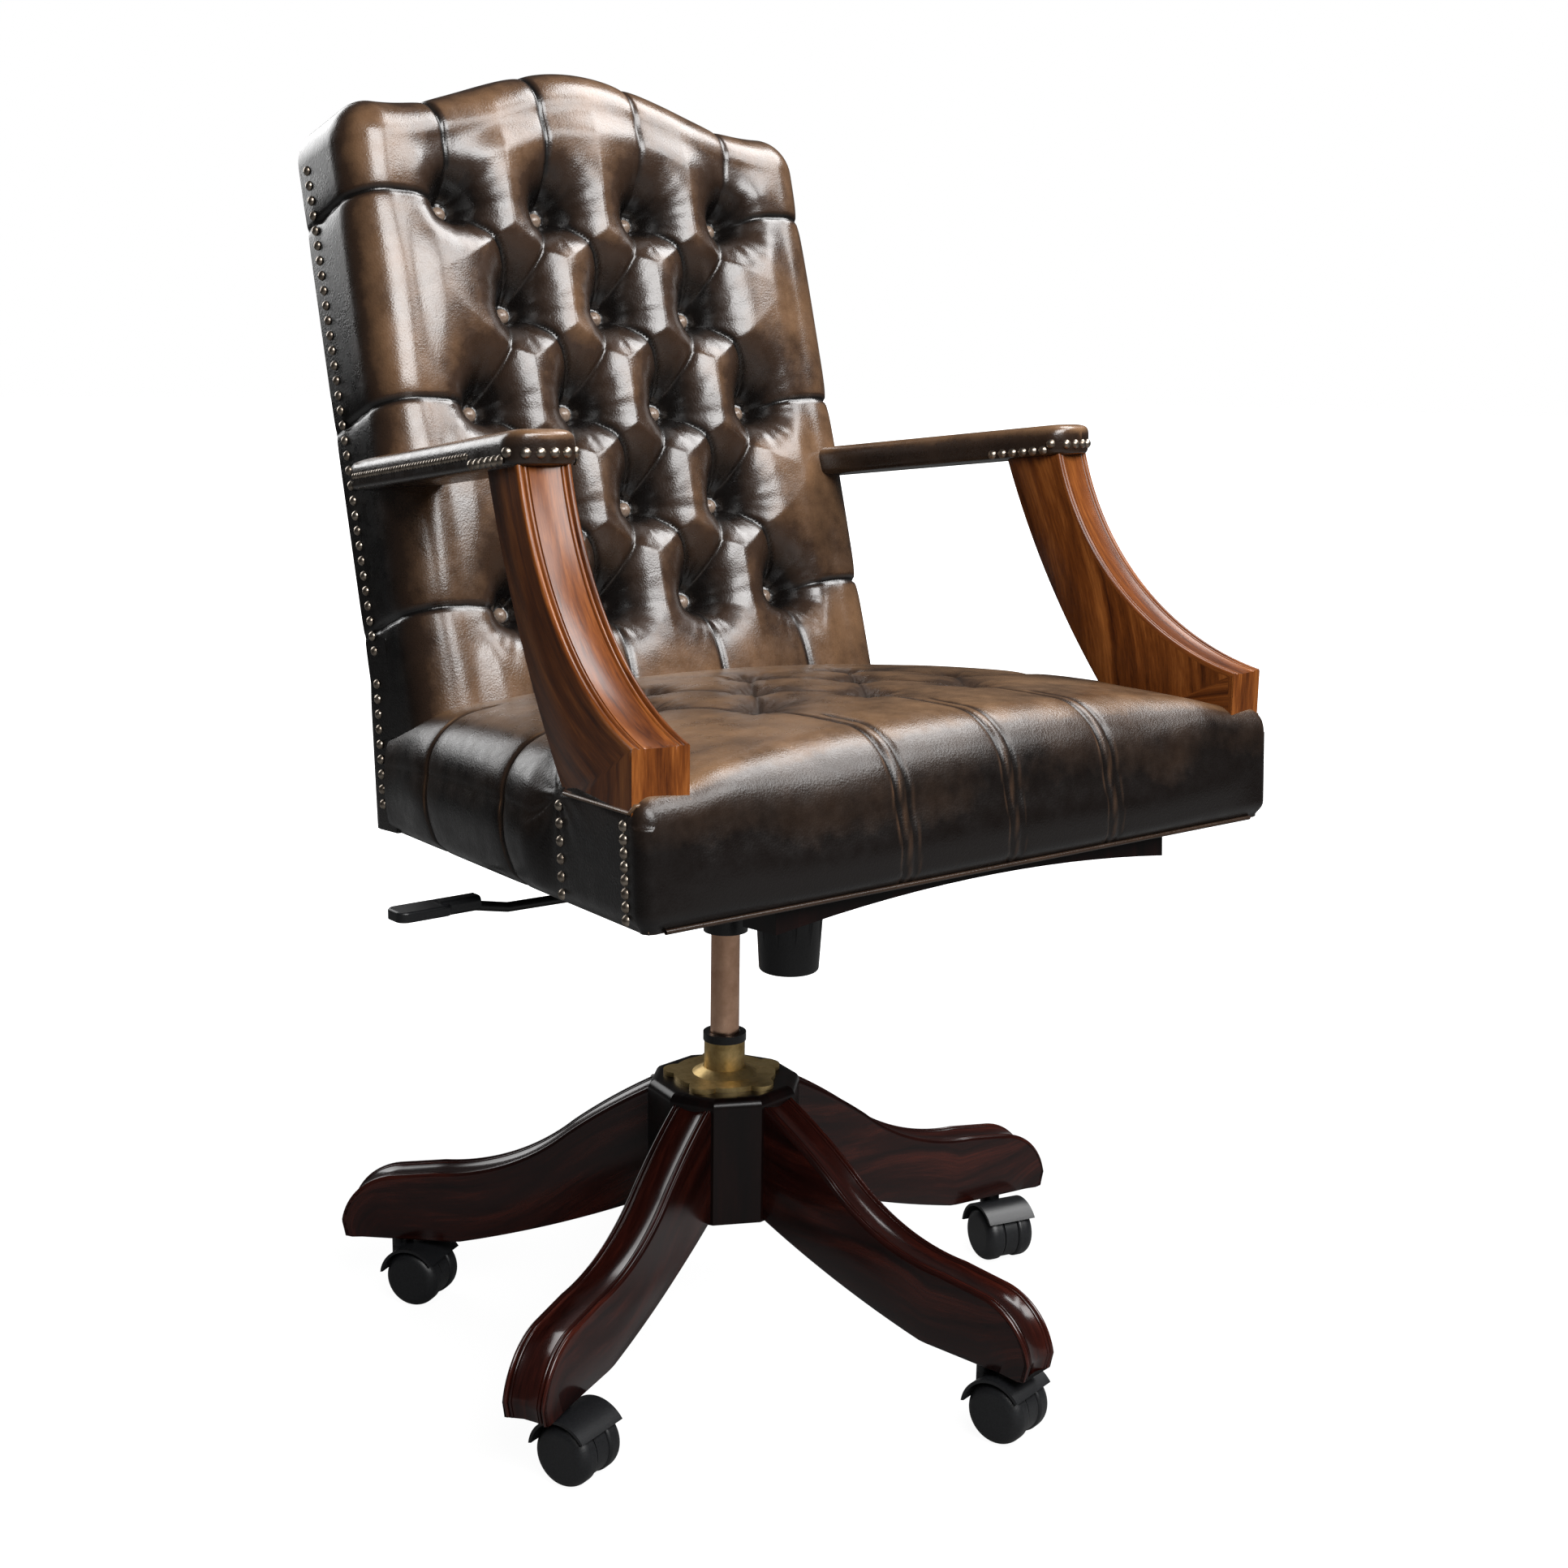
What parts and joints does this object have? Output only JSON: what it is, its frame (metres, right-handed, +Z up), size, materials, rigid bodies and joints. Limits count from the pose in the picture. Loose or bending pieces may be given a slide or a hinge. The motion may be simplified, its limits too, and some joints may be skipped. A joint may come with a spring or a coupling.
{
  "type": "chesterfield desk chair",
  "caption": "Deep-buttoned leather desk chair with a high camel back, curved wooden arm posts, a reeded wooden star base on castors, gas lift and tilt mechanism.",
  "frame": {"origin": "on the swivel column's axis at floor level, where the castors rest", "axes": "+Z up along the column, -Y the way the sitter faces, +X to the right of someone looking at the chair's front"},
  "size_m": [0.6517, 0.646, 1.0666],
  "materials": {
    "back_leather": "glossy, hand antiqued",
    "seat_leather": "semi-gloss, hand antiqued",
    "arm_wood": "polished",
    "dark_wood": "polished",
    "hidden_wood": "raw",
    "antique_brass": "antique",
    "nail_brass": "antique",
    "copper_finish": "metallic satin",
    "black_metal": "satin",
    "black_plastic": "satin",
    "steel": "brushed",
    "black_cloth": "matte"
  },
  "bodies": {
    "base": {"base_hub": "dark_wood", "base_leg_1": "dark_wood", "base_leg_2": "dark_wood", "base_leg_3": "dark_wood", "base_leg_4": "dark_wood", "base_leg_5": "dark_wood", "leg_dowels": "hidden_wood", "flange_plate": "antique_brass", "flange_screws": "antique_brass", "column_sleeve": "antique_brass", "guide_bush": "black_plastic", "thrust_bearing": "steel", "caster_sockets": "steel"},
    "piston": {"piston_rod": "steel"},
    "chassis": {"pressure_tube": "copper_finish", "mech_housing": "black_metal", "tension_spring": "steel"},
    "release": {"release_button": "steel"},
    "lever": {"lever_rod": "black_metal", "lever_handle": "black_plastic"},
    "seat": {"mech_seat_plate": "black_metal", "tilt_shaft": "steel", "plate_bolts": "steel", "seat_battens": "hidden_wood", "dust_cover": "black_cloth", "seat_frame": "hidden_wood", "seat_webbing": "black_cloth", "seat_cushion": "seat_leather", "back_frame": "hidden_wood", "outside_back": "back_leather", "back_cushion": "back_leather", "back_buttons": "back_leather", "arm_post_left": "arm_wood", "arm_post_right": "arm_wood", "arm_rails": "hidden_wood", "arm_pad_left": "back_leather", "arm_pad_right": "back_leather", "upholstery_nails": "nail_brass"},
    "tension_bolt": {"tension_bolt": "steel"},
    "tension_knob": {"tension_knob": "black_plastic"},
    "caster_1": {"caster_hood_1": "black_plastic", "caster_pins_1": "steel"},
    "wheel_left_1": {"caster_wheel_left_1": "black_plastic"},
    "wheel_right_1": {"caster_wheel_right_1": "black_plastic"},
    "caster_2": {"caster_hood_2": "black_plastic", "caster_pins_2": "steel"},
    "wheel_left_2": {"caster_wheel_left_2": "black_plastic"},
    "wheel_right_2": {"caster_wheel_right_2": "black_plastic"},
    "caster_3": {"caster_hood_3": "black_plastic", "caster_pins_3": "steel"},
    "wheel_left_3": {"caster_wheel_left_3": "black_plastic"},
    "wheel_right_3": {"caster_wheel_right_3": "black_plastic"},
    "caster_4": {"caster_hood_4": "black_plastic", "caster_pins_4": "steel"},
    "wheel_left_4": {"caster_wheel_left_4": "black_plastic"},
    "wheel_right_4": {"caster_wheel_right_4": "black_plastic"},
    "caster_5": {"caster_hood_5": "black_plastic", "caster_pins_5": "steel"},
    "wheel_left_5": {"caster_wheel_left_5": "black_plastic"},
    "wheel_right_5": {"caster_wheel_right_5": "black_plastic"}
  },
  "joints": [
    {"name": "seat_swivel", "type": "hinge", "parent": "base", "child": "piston", "pos_m": [0, 0, 0.2], "axis": [0, 0, 1], "continuous": true},
    {"name": "gas_lift", "type": "slide", "parent": "piston", "child": "chassis", "axis": [0, 0, 1], "range_m": [-0.08, 0]},
    {"name": "seat_tilt", "type": "hinge", "parent": "chassis", "child": "seat", "pos_m": [0, -0.034, 0.408], "axis": [-1, 0, 0], "range_deg": [0, 12], "stiffness_Nm_per_rad": 160, "springref_deg": -22.92, "deforming": ["tension_spring"]},
    {"name": "lever_lift", "type": "hinge", "parent": "chassis", "child": "lever", "pos_m": [-0.038, 0, 0.4006], "axis": [0, 1, 0], "range_deg": [0, 4]},
    {"name": "release_press", "type": "slide", "parent": "chassis", "child": "release", "axis": [0, 0, 1], "range_m": [-0.003, 0]},
    {"name": "bolt_swing", "type": "hinge", "parent": "seat", "child": "tension_bolt", "pos_m": [0, -0.085, 0.408], "axis": [-1, 0, 0], "range_deg": [-12, 0]},
    {"name": "tension_turn", "type": "hinge", "parent": "tension_bolt", "child": "tension_knob", "pos_m": [0, -0.085, 0.36], "axis": [0, 0, 1], "range_deg": [-360, 360]},
    {"name": "caster_1_swivel", "type": "hinge", "parent": "base", "child": "caster_1", "pos_m": [-0.25661, -0.13075, 0.06], "axis": [0, 0, 1], "continuous": true},
    {"name": "wheel_left_1_roll", "type": "hinge", "parent": "caster_1", "child": "wheel_left_1", "pos_m": [-0.25043, -0.14977, 0.025], "axis": [-0.9511, -0.309, 0], "continuous": true},
    {"name": "wheel_right_1_roll", "type": "hinge", "parent": "caster_1", "child": "wheel_right_1", "pos_m": [-0.25043, -0.14977, 0.025], "axis": [-0.9511, -0.309, 0], "continuous": true},
    {"name": "caster_2_swivel", "type": "hinge", "parent": "base", "child": "caster_2", "pos_m": [0.04505, -0.28445, 0.06], "axis": [0, 0, 1], "continuous": true},
    {"name": "wheel_left_2_roll", "type": "hinge", "parent": "caster_2", "child": "wheel_left_2", "pos_m": [0.04921, -0.30402, 0.025], "axis": [-0.9781, -0.2079, 0], "continuous": true},
    {"name": "wheel_right_2_roll", "type": "hinge", "parent": "caster_2", "child": "wheel_right_2", "pos_m": [0.04921, -0.30402, 0.025], "axis": [-0.9781, -0.2079, 0], "continuous": true},
    {"name": "caster_3_swivel", "type": "hinge", "parent": "base", "child": "caster_3", "pos_m": [0.28445, -0.04505, 0.06], "axis": [0, 0, 1], "continuous": true},
    {"name": "wheel_left_3_roll", "type": "hinge", "parent": "caster_3", "child": "wheel_left_3", "pos_m": [0.27962, -0.06446, 0.025], "axis": [-0.9703, 0.2419, 0], "continuous": true},
    {"name": "wheel_right_3_roll", "type": "hinge", "parent": "caster_3", "child": "wheel_right_3", "pos_m": [0.27962, -0.06446, 0.025], "axis": [-0.9703, 0.2419, 0], "continuous": true},
    {"name": "caster_4_swivel", "type": "hinge", "parent": "base", "child": "caster_4", "pos_m": [0.13075, 0.25661, 0.06], "axis": [0, 0, 1], "continuous": true},
    {"name": "wheel_left_4_roll", "type": "hinge", "parent": "caster_4", "child": "wheel_left_4", "pos_m": [0.13593, 0.23729, 0.025], "axis": [-0.9659, -0.2588, 0], "continuous": true},
    {"name": "wheel_right_4_roll", "type": "hinge", "parent": "caster_4", "child": "wheel_right_4", "pos_m": [0.13593, 0.23729, 0.025], "axis": [-0.9659, -0.2588, 0], "continuous": true},
    {"name": "caster_5_swivel", "type": "hinge", "parent": "base", "child": "caster_5", "pos_m": [-0.20365, 0.20365, 0.06], "axis": [0, 0, 1], "continuous": true},
    {"name": "wheel_left_5_roll", "type": "hinge", "parent": "caster_5", "child": "wheel_left_5", "pos_m": [-0.19365, 0.18633, 0.025], "axis": [-0.866, -0.5, 0], "continuous": true},
    {"name": "wheel_right_5_roll", "type": "hinge", "parent": "caster_5", "child": "wheel_right_5", "pos_m": [-0.19365, 0.18633, 0.025], "axis": [-0.866, -0.5, 0], "continuous": true}
  ],
  "couplings": [
    {"joint": "release_press", "follows": "lever_lift", "m_per_rad": -0.042},
    {"joint": "bolt_swing", "follows": "seat_tilt", "ratio": -1}
  ]
}
